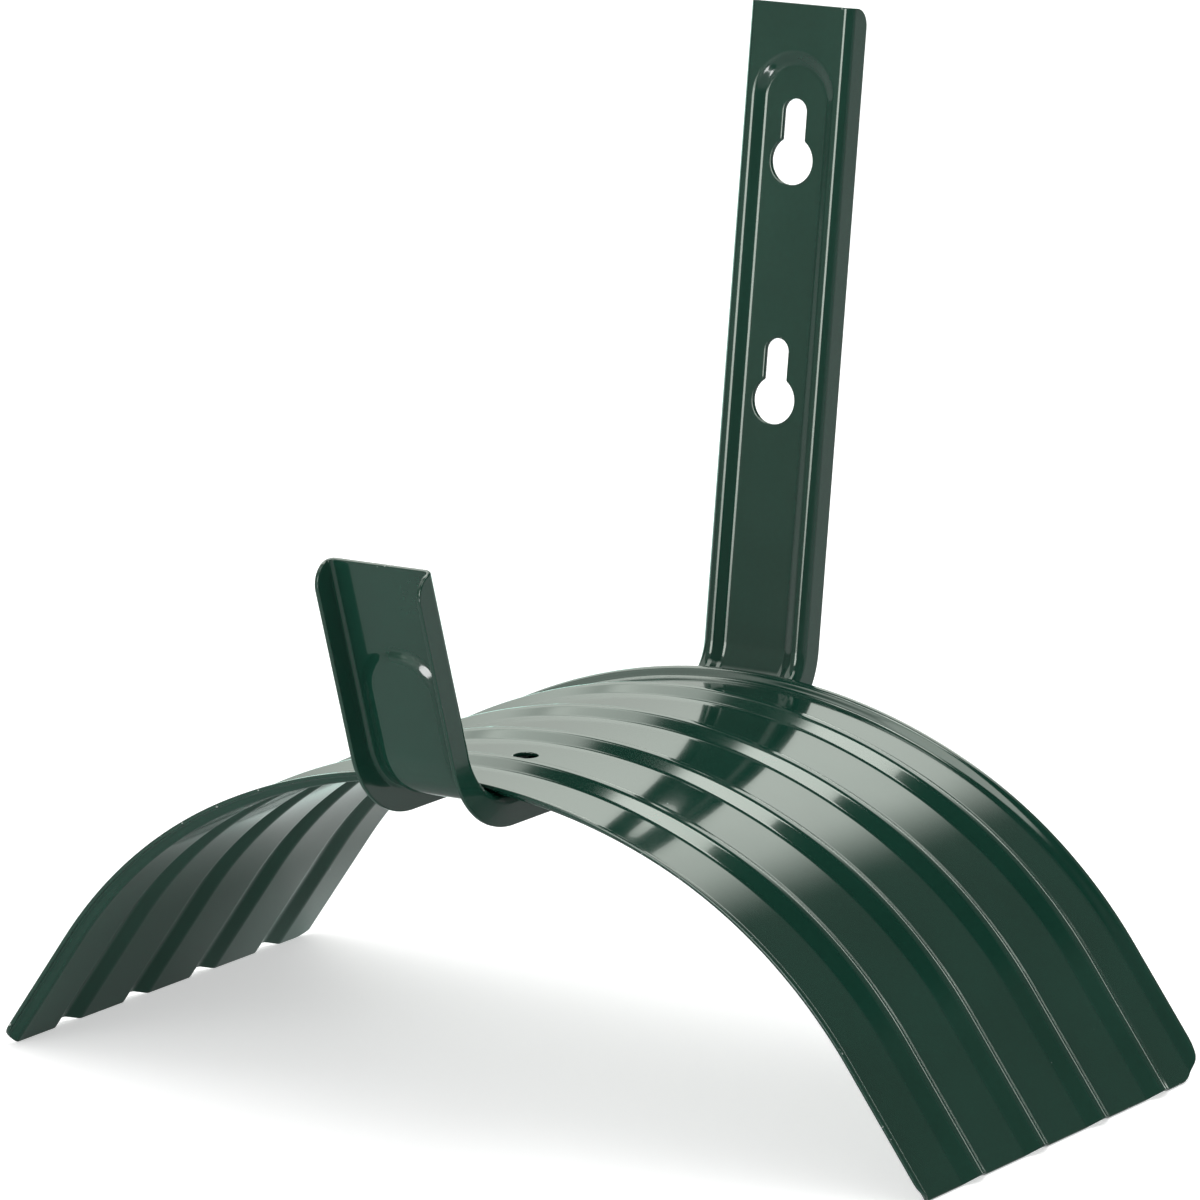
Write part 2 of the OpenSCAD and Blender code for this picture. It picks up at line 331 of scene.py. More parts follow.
        for hole in self.holes:
            i0, i1 = np.searchsorted(self.along, np.array(hole.block[:2]) - 1e-6)
            j0, j1 = np.searchsorted(self.across, np.array(hole.block[2:]) - 1e-6)
            shown[i0:i1, j0:j1] = False
            middle = (j0 + j1) // 2
            loop = np.concatenate([ids[i1, middle:j1], ids[i1:i0:-1, j1], ids[i0, j1:j0:-1],
                                   ids[i0:i1, j0], ids[i1, j0:middle]])
            flat = np.stack([length.ravel()[loop], width.ravel()[loop]], 1)
            step = np.linalg.norm(np.diff(flat, axis=0, append=flat[:1]), axis=1)
            share = np.concatenate([[0], np.cumsum(step)[:-1]]) / step.sum()
            inner = hole.points_at(share, self.edge_r)
            blends = np.array([0.8, 0.6, 0.42, 0.26, 0.12])
            patch = [inner + t * (flat - inner) for t in blends]
            top = [self.place(*p.T, np.zeros(len(p))) for p in patch]
            under = [self.place(*p.T, np.full(len(p), self.thickness)) for p in patch[::-1]]
            wall = []
            for inset, depth in zip(insets, depths):
                p = hole.points_at(share, inset)
                wall.append(self.place(*p.T, np.full(len(p), depth)))
            fade = np.exp(-blends * self.hole_fade / self.wear_reach)
            wear = np.concatenate([fade, np.ones(len(wall)), fade[::-1]])
            join([loop, *add([*top, *wall, *under], wear), loop + n * m])

        quads = np.stack([ids[:-1, :-1], ids[1:, :-1], ids[1:, 1:], ids[:-1, 1:]], -1)[shown]
        faces += [quads, quads[:, ::-1] + n * m]
        stacked = np.vstack([p.reshape(-1, 3) for p in points])
        return new_mesh(name, stacked, outward(stacked, np.vstack(faces)), np.concatenate(worn))


@dataclass(frozen=True)
class Slope:
    """The saddle's own level frame: it slopes down to the front, and its zero is on the crown's flats."""

    lean: float = 8.5
    depth: float = 140
    rim_h: float = 2.2

    def to_part(self, points: Array) -> Array:
        """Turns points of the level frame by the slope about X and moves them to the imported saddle's place.

        Args:
            points: One row [x, depth, height] each.

        Returns:
            The same points in the part's frame.
        """
        low, high = (np.array(corner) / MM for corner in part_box("saddle"))
        c, s = math.cos(math.radians(self.lean)), math.sin(math.radians(self.lean))
        x, y, z = np.moveaxis(points, -1, 0)
        ahead = low[1] + self.rim_h * s
        below = high[2] - self.depth * s - self.rim_h * c
        return np.stack([x, y * c - z * s + ahead, y * s + z * c + below], -1)


@dataclass
class Saddle:
    """The arched saddle sheet with its ridges, turned up rims and pilot hole."""

    slope: Slope
    thickness: float = 1
    crown_r: float = 159.5
    crown_angle: float = 26
    shoulder_r: float = 130.5
    shoulder_angle: float = 28.4
    leg_l: float = 37.7
    front_corner_r: float = 5
    rear_corner_r: float = 10
    pilot_d: float = 6.5
    pilot_y: float = 37.3
    # Half the width of the mesh that is rebuilt round the pilot hole, and its lines each way
    pilot_block: float = 4.5
    pilot_lines: int = 17
    ridge_h: float = 2.2
    ridge_count: int = 4
    ridge_first: float = 26.2
    ridge_pitch: float = 30.3
    ridge_top: float = 2.3
    ridge_flank: float = 4.4
    front_rim_w: float = 1.8
    rear_rim_w: float = 2
    rim_flank: float = 2
    press_round: float = 1.5
    # Most that lines of the mesh lie apart, round the arcs, down the legs and across the depth
    arc_step: float = 2.4
    leg_step: float = 4
    depth_step: float = 3
    piece: bpy.types.Object | None = None

    def arc_ends(self) -> tuple[float, float]:
        """Distances from the middle at which the crown arc and the shoulder arc end: radii times angles."""
        crown = self.crown_r * math.radians(self.crown_angle)
        return crown, crown + self.shoulder_r * math.radians(self.shoulder_angle)

    def arch(self, s: Array) -> tuple[Array, Array, Array]:
        """The outer face's line over the arch: the crown arc, a shoulder arc and a straight leg in turn.

        On an arc the angle off the top grows with the distance over its radius.

        Args:
            s: Distance from the middle, along the outer face, never negative.

        Returns:
            The distance out, the height and the angle off the top, which the face's normal has too.
        """
        crown = math.radians(self.crown_angle)
        steep = crown + math.radians(self.shoulder_angle)
        gap = self.crown_r - self.shoulder_r
        s1, s2 = self.arc_ends()
        angle = np.where(s < s1, s / self.crown_r, crown + (np.minimum(s, s2) - s1) / self.shoulder_r)
        r = np.where(s < s1, self.crown_r, self.shoulder_r)
        past = np.where(s < s1, 0.0, gap)
        leg = np.maximum(s - s2, 0)
        out = past * math.sin(crown) + r * np.sin(angle) + leg * math.cos(steep)
        up = past * math.cos(crown) + r * np.cos(angle) - self.crown_r - leg * math.sin(steep)
        return out, up, angle

    def reach(self) -> float:
        """Height above the crown's flats at which the rear edge starts to round into its corners."""
        _, up, angle = self.arch(np.array(self.arc_ends()[1] + self.leg_l - self.rear_corner_r))
        return float(up + (self.slope.rim_h - self.thickness) * np.cos(angle))

    def bends(self) -> tuple[Array, Array]:
        """Where the section bends: at both ends of each rim's flank, and at the four lines of each ridge.

        Returns:
            The distances from the front edge, and by how much the slope changes at each.
        """
        ridges = self.ridge_first + self.ridge_pitch * np.arange(self.ridge_count)
        half, foot = self.ridge_top / 2, self.ridge_top / 2 + self.ridge_flank
        steep = self.ridge_h / self.ridge_flank
        rim = self.slope.rim_h / self.rim_flank
        front, rear = self.front_rim_w, self.slope.depth - self.rear_rim_w
        at = [front, front + self.rim_flank, *(ridges[:, None] + [-foot, -half, half, foot]).ravel(),
              rear - self.rim_flank, rear]
        change = [-rim, rim, *([steep, -steep, -steep, steep] * self.ridge_count), rim, -rim]
        return np.array(at), np.array(change)

    def height(self, y: Array) -> Array:
        """Height of the outer face above the flats: the front rim's, and one soft ramp for each bend."""
        at, change = self.bends()
        return self.slope.rim_h + (change * soft_ramp(y[..., None] - at, self.press_round)).sum(-1)

    def place(self, s: Array, y: Array, depth: Array) -> Array:
        """Puts points of the flat pattern onto the saddle.

        Args:
            s: Distance from the middle along the arch, to the right.
            y: Distance from the front edge.
            depth: Depth below the outer face.

        Returns:
            The points in the part's frame.
        """
        out, up, angle = self.arch(np.abs(s))
        rise = self.height(y) - depth
        level = np.stack([np.sign(s) * (out + rise * np.sin(angle)), y, up + rise * np.cos(angle)], -1)
        return self.slope.to_part(level)

    def build(self) -> None:
        """Builds the sheet: the section swept over the arch, with four round corners and the pilot hole."""
        edge = EDGE_R
        bend_at, _ = self.bends()
        depth = self.slope.depth
        turn = np.radians(np.arange(0, 91, 10))
        front = self.front_corner_r - (self.front_corner_r - edge) * np.cos(turn)
        rear = depth - self.rear_corner_r + (self.rear_corner_r - edge) * np.cos(turn)
        wide = self.pilot_block
        block = (-wide, wide, self.pilot_y - wide, self.pilot_y + wide)
        bends = round_bend_lines(bend_at, self.press_round / 2)
        across = merged([np.linspace(*block[2:], self.pilot_lines), bends, front, rear,
                         spaced(0, depth, self.depth_step)], edge, depth - edge)
        arcs = self.arc_ends()[1]
        half = arcs + self.leg_l
        leg = spaced(arcs, half, self.leg_step)
        tips = half - edge - END_STEPS
        along = merged([np.linspace(*block[:2], self.pilot_lines), spaced(-arcs, arcs, self.arc_step),
                        leg, -leg, tips, -tips], edge - half, half - edge, gap=0.2)
        spin = np.radians(np.arange(0, 360, 2))
        circle = self.pilot_d / 2 * np.stack([np.cos(spin), np.sin(spin)], 1) + [0, self.pilot_y]
        corners = np.array([[self.front_corner_r, self.rear_corner_r]] * 2)
        sheet = Sheet(self.place, along, across, self.thickness, corners, [Hole(block, circle)], edge)
        self.piece = sheet.build("saddle_sheet")

    def dress(self, finish: "GlossEnamel") -> None:
        """Gives the sheet its enamel, and its place on the frame.

        Args:
            finish: The enamel.
        """
        self.piece.data.materials.append(finish.make())
        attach(self.piece, "root")
        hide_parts("saddle")


@dataclass
class BracketStrip:
    """The channel strip that is the wall plate, the arm under the saddle and the front hook in turn."""

    saddle: Saddle
    width: float = 32
    thickness: float = 1.2
    depth: float = 8.2
    flange_r: float = 2.4
    bead_depth: float = 1.4
    bead_floor_w: float = 19
    bead_mouth_w: float = 24.7
    bead_round: float = 1.5
    keyhole_rise: float = 136.5
    plate_top: float = 41.5
    plate_bead_end: float = 25.2
    plate_corner_r: float = 5
    keyhole_d: float = 12.7
    keyhole_slot_w: float = 6.85
    keyhole_slot_top: float = 16.45
    keyhole_pitch: float = 63.5
    keyhole_margin: float = 2.3
    rear_bend_r: float = 11
    front_bend_r: float = 18.8
    hook_lean: float = 17.5
    front_bend_start: float = 7.9
    hook_l: float = 67
    hook_bead_end: float = 36
    hook_corner_r: float = 5.7
    wall_gap: float = 0.1
    seat_gap: float = 0.3
    # Lines of the mesh round a keyhole, along the strip and across it
    keyhole_lines: tuple[int, int] = (41, 29)
    # Distance of a guard line from either end of the flange's bend
    guard: float = 0.15
    # Most that lines of the mesh lie apart: across, down the runs, round the bends, over the bead's ends
    across_step: float = 1.5
    run_step: float = 6
    rear_bend_step: float = 1
    front_bend_step: float = 1.3
    bead_end_step: float = 0.45
    piece: bpy.types.Object | None = None
    # How far the arm's flat edges lie below the crown's flats
    arm_drop: float = field(init=False)
    # The strip's runs and bends: their lengths and their turns in radians
    lengths: Array = field(init=False)
    turns: Array = field(init=False)

    def __post_init__(self) -> None:
        """Works out where the arm lies, and the strip's runs and bends, from the sizes.

        The arm's flat edges lie a clearance under the arch there. The saddle's rear corners reach the
        wall plane, which the flanges' free edges lie on, and that gives the plate's distance.
        """
        inner = self.saddle.crown_r - self.saddle.thickness
        flat = self.width / 2 - self.flange_r
        self.arm_drop = self.saddle.thickness + inner - math.sqrt(inner**2 - flat**2) + self.seat_gap
        slope = self.saddle.slope
        lean = math.radians(slope.lean)
        plate_y = slope.depth - (self.saddle.reach() * math.sin(lean) + self.depth - self.bead_depth
                                 - self.wall_gap) / math.cos(lean)
        rear, front = math.pi / 2 - lean, math.radians(90 - self.hook_lean)
        rear_tangent = self.rear_bend_r * math.tan(rear / 2)
        front_tangent = self.front_bend_r * math.tan(front / 2)
        corner_z = -self.keyhole_rise - self.arm_drop / math.cos(lean) - self.bead_depth * math.tan(lean)
        plate = self.plate_top - corner_z - rear_tangent
        arm = (plate_y - (self.bead_depth + self.arm_drop * math.sin(lean)) / math.cos(lean)
               - rear_tangent - self.front_bend_start)
        self.lengths = np.array([plate, self.rear_bend_r * rear, arm, self.front_bend_r * front,
                                 self.hook_l - front_tangent])
        self.turns = np.array([0, rear, 0, front, 0])

    def path(self, p: Array) -> tuple[Array, Array, Array]:
        """The middle line of the strip's plain face: down the plate, along the arm and up the hook.

        A run goes straight on. Along a bend the heading turns evenly, so the line is a circle's arc.

        Args:
            p: Distance along the strip from the plate's top.

        Returns:
            The line's place into the wall, its height, and its heading.
        """
        starts = np.concatenate([[0], np.cumsum(self.lengths)[:-1]])
        headings = -math.pi / 2 - np.concatenate([[0], np.cumsum(self.turns)[:-1]])
        curves = -self.turns / self.lengths
        steps_y, steps_z = self.onward(self.lengths, headings, curves)
        from_y = -self.bead_depth + np.concatenate([[0], np.cumsum(steps_y)[:-1]])
        from_z = self.plate_top + np.concatenate([[0], np.cumsum(steps_z)[:-1]])
        k = np.clip(np.searchsorted(starts, p, side="right") - 1, 0, len(starts) - 1)
        d = p - starts[k]
        y, z = self.onward(d, headings[k], curves[k])
        return from_y[k] + y, from_z[k] + z, headings[k] + curves[k] * d

    @staticmethod
    def onward(d: Array, heading: Array, curve: Array) -> tuple[Array, Array]:
        """The way covered from a point along a line of constant curve.

        Args:
            d: Distance covered.
            heading: Heading at the start.
            curve: Turn of the heading for each millimetre, 0 on a straight run.

        Returns:
            The way into the wall and the way up.
        """
        safe = np.where(curve == 0, 1.0, curve)
        end = heading + curve * d
        y = np.where(curve == 0, d * np.cos(heading), (np.sin(end) - np.sin(heading)) / safe)
        z = np.where(curve == 0, d * np.sin(heading), (np.cos(heading) - np.cos(end)) / safe)
        return y, z

    def bead(self, p: Array, q: Array) -> Array:
        """Depth of the pressed bead: two soft ramps of the distance to its middle line.

        That line stops short of the strip's ends, so the bead ends there in half circles.

        Args:
            p: Distance along from the plate's top.
            q: Distance across from the middle.

        Returns:
            The depth at each point, 0 off the bead.
        """
        total = self.lengths.sum()
        short = np.maximum(self.plate_bead_end - p, p - total + self.hook_bead_end)
        r = np.hypot(q, np.maximum(short, 0))
        mouth, floor = self.bead_mouth_w / 2, self.bead_floor_w / 2
        fall = soft_ramp(mouth - r, self.bead_round) - soft_ramp(floor - r, self.bead_round)
        return self.bead_depth * fall / (mouth - floor)

    def place(self, p: Array, q: Array, depth: Array) -> Array:
        """Puts points of the flat pattern onto the strip.

        Across the strip come the web, a quarter bend and the flange. Along it the section rides on the
        path, with its flanges on the side away from the bends' centres.

        Args:
            p: Distance along from the plate's top.
            q: Distance across from the middle, along the plain face.
            depth: Depth below the plain face.

        Returns:
            The points in the part's frame.
        """
        web = self.width / 2 - self.flange_r
        far = np.abs(q)
        turn = np.clip((far - web) / self.flange_r, 0, math.pi / 2)
        straight = np.maximum(far - web - self.flange_r * math.pi / 2, 0)
        x = np.sign(q) * (np.minimum(far, web) + (self.flange_r - depth) * np.sin(turn))
        down = self.flange_r - (self.flange_r - depth) * np.cos(turn) + straight + self.bead(p, q)
        y, z, heading = self.path(p)
        return np.stack([x, y - down * np.sin(heading), z + down * np.cos(heading)], -1)

    def keyhole(self, centre: float) -> Hole:
        """A keyhole, whose outline is an arc, the slot's side, its round end, and the same back.

        Args:
            centre: Distance of the round hole's centre along the strip.

        Returns:
            The hole in the flat pattern.
        """
        r, s = self.keyhole_d / 2, self.keyhole_slot_w / 2
        meet = math.asin(s / r)
        arc = np.linspace(0, math.pi - meet, 160)[:-1]
        side = np.linspace(0, 1, 60)[:-1]
        cap = np.linspace(0, math.pi / 2, 60)
        low, high = math.sqrt(r**2 - s**2), self.keyhole_slot_top - s
        up = np.concatenate([-r * np.cos(arc), low + (high - low) * side, high + s * np.sin(cap)])
        out = np.concatenate([r * np.sin(arc), np.full(len(side), s), s * np.cos(cap)])
        outline = np.stack([np.concatenate([up, up[-2:0:-1]]), np.concatenate([out, -out[-2:0:-1]])], 1)
        margin = self.keyhole_margin
        wide = r + margin - EDGE_R
        block = (centre - self.keyhole_slot_top - margin, centre + r + margin, -wide, wide)
        return Hole(block, outline * [-1, 1] + [centre, 0])

    def build(self) -> None:
        """Builds the strip from its flat pattern, with both keyholes."""
        edge = EDGE_R
        total = self.lengths.sum()
        joints = np.cumsum(self.lengths)[:-1]
        web = self.width / 2 - self.flange_r
        bend = web + self.flange_r * math.pi / 2
        half = bend + self.depth - self.flange_r
        holes = [self.keyhole(self.plate_top), self.keyhole(self.plate_top + self.keyhole_pitch)]
        mouth, floor = self.bead_mouth_w / 2, self.bead_floor_w / 2
        turn = np.radians(np.arange(0, 91, 9))
        corner = half - self.hook_corner_r + (self.hook_corner_r - edge) * np.cos(turn)
        quarter = np.concatenate([[web - self.guard], np.linspace(web, bend, 11), [bend + self.guard]])
        flanks = round_bend_lines(np.array([mouth, floor]), self.bead_round / 2)
        one_side = np.concatenate([flanks, quarter, corner])
        tall, wide = self.keyhole_lines
        across = merged([np.linspace(*holes[0].block[2:], wide), one_side, -one_side,
                         spaced(-half, half, self.across_step)], edge - half, half - edge)
        reach = mouth + self.bead_round
        hook_end = total - self.hook_bead_end
        arches = [spaced(self.plate_bead_end - reach, self.plate_bead_end, self.bead_end_step),
                  spaced(hook_end, hook_end + reach, self.bead_end_step)]
        turns = [spaced(joints[0], joints[1], self.rear_bend_step),
                 spaced(joints[2], joints[3], self.front_bend_step)]
        guards = (joints[:, None] + [-edge, edge]).ravel()
        blocks = [np.linspace(*hole.block[:2], tall) for hole in holes]
        along = merged([*blocks, *turns, *arches, guards, END_STEPS + edge, total - edge - END_STEPS,
                        spaced(0, total, self.run_step)], edge, total - edge, gap=0.15)
        corners = np.array([[self.plate_corner_r] * 2, [self.hook_corner_r] * 2])
        sheet = Sheet(self.place, along, across, self.thickness, corners, holes, edge)
        self.piece = sheet.build("bracket_strip")

    def dress(self, finish: "GlossEnamel") -> None:
        """Gives the strip its enamel, and its place on the frame.

        Args:
            finish: The enamel.
        """
        self.piece.data.materials.append(finish.make())
        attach(self.piece, "root")
        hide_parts("bracket")


@dataclass
class TackWelds:
    """The rippled weld beads in the grooves between the arm's bends and the saddle."""

    saddle: Saddle
    strip: BracketStrip
    radius: float = 1.8
    length: float = 12
    ripple: float = 0.07
    ripple_pitch: float = 1.5
    # How deep a bead runs into the metal on either side of its groove
    bite: float = 0.4
    # Lines of a bead's mesh: circles along it, and points of each
    circles: int = 61
    circle_points: int = 24
    piece: bpy.types.Object | None = None

    def build(self) -> None:
        """Builds the beads: circles along a line, whose radius ripples and closes at both ends.

        A bead fills the groove, so its section is held below the saddle's inner face, and outside the
        strip's flange, but for the bite that it takes of either.
        """
        around = np.linspace(0, 2 * math.pi, self.circle_points + 1)[:-1]
        reach = self.length / 2 + self.radius
        # The sine crowds the circles at both ends, and the power spreads them in the middle
        slide = np.sin(np.linspace(-math.pi / 2, math.pi / 2, self.circles))
        a = reach * np.sign(slide) * np.abs(slide) ** 0.8
        cap = np.clip((np.abs(a) - self.length / 2) / self.radius, 0, 1)
        swell = 1 - self.ripple * np.cos(2 * math.pi * a / self.ripple_pitch) ** 2
        r = self.radius * np.sqrt(1 - cap**2) * swell
        n, m = len(a), len(around)
        ring = np.arange(n * m).reshape(n, m)
        beside = np.roll(ring, -1, 1)
        quads = np.stack([ring[:-1], beside[:-1], beside[1:], ring[1:]], -1).reshape(-1, 4)
        first, pitch, count = self.saddle.ridge_first, self.saddle.ridge_pitch, self.saddle.ridge_count
        bands = (first + pitch / 2, first + (count - 1.5) * pitch)
        points, faces = [], []
        for k, (side, y) in enumerate((s, y) for s in Side for y in bands):
            wall = self.strip.width / 2
            far = np.maximum(wall + r[:, None] * np.cos(around), wall - self.bite)
            inner = self.saddle.crown_r - self.saddle.thickness
            roof = np.sqrt(inner**2 - far**2) - self.saddle.crown_r + self.bite
            z = np.minimum(-self.strip.arm_drop + r[:, None] * np.sin(around), roof)
            level = np.stack([side.value * far, np.broadcast_to(y + a[:, None], far.shape), z], -1)
            points.append(self.saddle.slope.to_part(level).reshape(-1, 3))
            faces.append(outward(points[-1], quads) + k * n * m)
        stacked = np.vstack(points)
        self.piece = new_mesh("weld_beads", stacked, np.vstack(faces), np.zeros(len(stacked)))
        merge = self.piece.modifiers.new("close_ends", "WELD")
        merge.merge_threshold = 0.02 * MM

    def dress(self, finish: "GlossEnamel") -> None:
        """Gives the beads their enamel, and their place on the frame.

        Args:
            finish: The enamel.
        """
        self.piece.data.materials.append(finish.make())
        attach(self.piece, "root")
        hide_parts("tack_welds")


class Nodes:
    """A short hand for wiring the nodes of a material or a world."""

    def __init__(self, holder: bpy.types.Material | bpy.types.World) -> None:
        """Starts on the holder's own nodes."""
        holder.use_nodes = True
        self.tree = holder.node_tree

    def add(self, kind: str, links: dict[str | int, Socket] | None = None,
            values: dict[str | int, object] | None = None, **settings: object) -> bpy.types.Node:
        """Adds a node.

        Args:
            kind: The node's type.
            links: What feeds each of its inputs.
            values: What each other input is set to.
            settings: The node's own options.

        Returns:
            The new node.
        """
        node = self.tree.nodes.new(kind)
        for key, value in settings.items():
            setattr(node, key, value)
        for key, value in (values or {}).items():
            node.inputs[key].default_value = value
        self.feed(node, links or {})
        return node

    def feed(self, node: bpy.types.Node, links: dict[str | int, Socket]) -> None:
        """Links sockets to a node's inputs."""
        for key, socket in links.items():
            self.tree.links.new(socket, node.inputs[key])

    def noise(self, size: float, detail: float = 2, roughness: float = 0.5) -> Socket:
        """Noise over the object's own coordinates.

        Args:
            size: How far across its lumps are, about, in millimetres.
            detail: How many finer layers it has.
            roughness: How strong the finer layers are.

        Returns:
            The noise, round about 0.5.
        """
        where = self.add("ShaderNodeTexCoord").outputs["Object"]
        made = self.add("ShaderNodeTexNoise", {"Vector": where},
                        {"Scale": 1 / (size * MM), "Detail": detail, "Roughness": roughness})
        return made.outputs["Fac"]

    def between(self, socket: Socket, low: float, high: float, to_low: float = 0, to_high: float = 1,
                soft: bool = False) -> Socket:
        """Maps a value from one range to another, and holds it within that.

        Args:
            socket: The value.
            low: Where the first range starts.
            high: Where it ends.
            to_low: What its start becomes.
            to_high: What its end becomes.
            soft: Whether the ramp's corners are rounded.

        Returns:
            The new value.
        """
        made = self.add("ShaderNodeMapRange", {0: socket}, {1: low, 2: high, 3: to_low, 4: to_high},
                        interpolation_type="SMOOTHSTEP" if soft else "LINEAR")
        return made.outputs[0]

    def math(self, how: str, a: Socket, b: Socket | float = 0) -> Socket:
        """Works out one or two values.

        Args:
            how: What is done with them.
            a: The first value.
            b: The second value, or a number.

        Returns:
            The result.
        """
        if isinstance(b, (int, float)):
            return self.add("ShaderNodeMath", {0: a}, {1: b}, operation=how).outputs[0]
        return self.add("ShaderNodeMath", {0: a, 1: b}, operation=how).outputs[0]

    def dot(self, vector: Socket, axis: Vector) -> Socket:
        """How far a vector goes along an axis."""
        made = self.add("ShaderNodeVectorMath", {0: vector}, {1: axis}, operation="DOT_PRODUCT")
        return made.outputs["Value"]

    def mix(self, share: Socket, a: Socket | tuple, b: tuple) -> Socket:
        """Blends two colours.

        Args:
            share: Share of the second colour, from 0 to 1.
            a: The first colour, a socket or numbers.
            b: The second colour.

        Returns:
            The colour between them.
        """
        node = self.add("ShaderNodeMix", {"Factor": share}, data_type="RGBA")
        if isinstance(a, tuple):
            node.inputs[6].default_value = (*a, 1)
        else:
            self.feed(node, {6: a})
        node.inputs[7].default_value = (*b, 1)
        return node.outputs[2]


@dataclass(frozen=True)
class GlossEnamel:
    """Dark green gloss enamel over pressed steel."""

    name: str
    deep: Triple = (0.0045, 0.034, 0.0215)
    pale: Triple = (0.0062, 0.043, 0.028)
    thin: Triple = (0.007, 0.036, 0.024)
    bare: Triple = (0.34, 0.37, 0.35)
    roughness: float = 0.115
    ior: float = 1.5
    coat: float = 0.35
    coat_roughness: float = 0.04
    # Heights of the orange peel and of the waves, in millimetres
    peel: float = 0.0035
    wave: float = 0.10
    # Share of the fine grain in the mottling
    grain_share: float = 0.25
    # Lowest and highest roughness in the haze, as shares of the roughness, and what a bare fleck adds
    haze: tuple[float, float] = (0.8, 1.25)
    bare_adds: float = 0.35
    # Sizes of the lumps of each pattern, in millimetres
    mottle_size: float = 28
    grain_size: float = 1.6
    thin_size: float = 6
    chip_size: float = 2.2
    speck_size: float = 1.7
    haze_size: float = 17
    wave_size: float = 34
    peel_size: float = 2.4

    def make(self) -> bpy.types.Material:
        """Builds the enamel: mottling, thin paint and flecks at cut edges, orange peel and waviness.

        Returns:
            The new material.
        """
        material = bpy.data.materials.new(self.name)
        n = Nodes(material)
        shader = n.tree.nodes["Principled BSDF"]
        edge = n.add("ShaderNodeAttribute", attribute_name="edge").outputs["Fac"]
        mottle = n.between(n.noise(self.mottle_size, 3), 0.3, 0.7)
        grain = n.between(n.noise(self.grain_size, 2), 0.35, 0.65)
        blend = n.math("ADD", n.math("MULTIPLY", mottle, 1 - self.grain_share),
                       n.math("MULTIPLY", grain, self.grain_share))
        colour = n.mix(blend, self.deep, self.pale)
        patchy = n.between(n.noise(self.thin_size, 3), 0.35, 0.6, 0.25, 0.9)
        thin = n.math("MULTIPLY", n.between(edge, 0.55, 1), patchy)
        colour = n.mix(thin, colour, self.thin)
        chipped = n.between(n.noise(self.chip_size, 3, 0.6), 0.68, 0.72)
        chip = n.math("MULTIPLY", n.between(edge, 0.75, 0.95), chipped)
        speck = n.between(n.noise(self.speck_size, 1, 0.4), 0.85, 0.87)
        bare = n.math("MAXIMUM", chip, speck)
        colour = n.mix(bare, colour, self.bare)
        limits = (self.roughness * share for share in self.haze)
        haze = n.between(n.noise(self.haze_size, 3), 0.3, 0.75, *limits)
        rough = n.math("ADD", haze, n.math("MULTIPLY", bare, self.bare_adds))
        shader.inputs["IOR"].default_value = self.ior
        shader.inputs["Coat Weight"].default_value = self.coat
        shader.inputs["Coat Roughness"].default_value = self.coat_roughness
        wave = n.add("ShaderNodeBump", {"Height": n.noise(self.wave_size, 1)},
                     {"Strength": 1, "Distance": self.wave * MM})
        peel = n.add("ShaderNodeBump", {"Height": n.noise(self.peel_size, 2), "Normal": wave.outputs[0]},
                     {"Strength": 1, "Distance": self.peel * MM})
        n.feed(shader, {"Base Color": colour, "Roughness": rough, "Normal": peel.outputs[0]})
        return material


@dataclass(frozen=True)
class SoftWindow:
    """A glowing stretch of the studio's surroundings with soft edges, which the enamel mirrors.

    Angles are in degrees. The turn is a bearing from the way into the wall, towards the right, and
    the heights are above the saddle's level. The glow grows from the low edge to the high one.
    """

    turn: float
    half: float
    low: float
    high: float
    soft: float
    dim: float
    bright: float

    def glow(self, n: Nodes, turn: Socket, rise: Socket) -> Socket:
        """How brightly the window glows in a direction: a product of soft steps at its four edges.

        Args:
            n: The world's nodes.
            turn: Bearing of the direction, in degrees.
            rise: Height of the direction, in degrees.

        Returns:
            The radiance that the window adds.
        """
        aside = n.add("ShaderNodeMath", {0: n.math("SUBTRACT", turn, self.turn)}, {1: 180, 2: -180},
                      operation="WRAP").outputs[0]
        blur = self.soft / 2
        in_width = n.between(n.math("ABSOLUTE", aside), self.half - blur, self.half + blur, 1, 0, True)
        over = n.between(rise, self.low - blur, self.low + blur, 0, 1, True)
        under = n.between(rise, self.high - blur, self.high + blur, 1, 0, True)
        share = n.math("POWER", n.between(rise, self.low, self.high), 2)
        glow = n.between(share, 0, 1, self.dim, self.bright)
        return n.math("MULTIPLY", glow, n.math("MULTIPLY", in_width, n.math("MULTIPLY", over, under)))


@dataclass(frozen=True)
class Softbox:
    """A square soft lamp that faces a point of the saddle's level frame.

    It is a light that the gloss leaves out, or else a highlight in the gloss alone. Its turn and rise
    are in degrees, its side and its distance in metres.
    """

    name: str
    aim: Triple
    turn: float
    rise: float
    side: float
    far: float
    glow: float
    gloss: bool = False


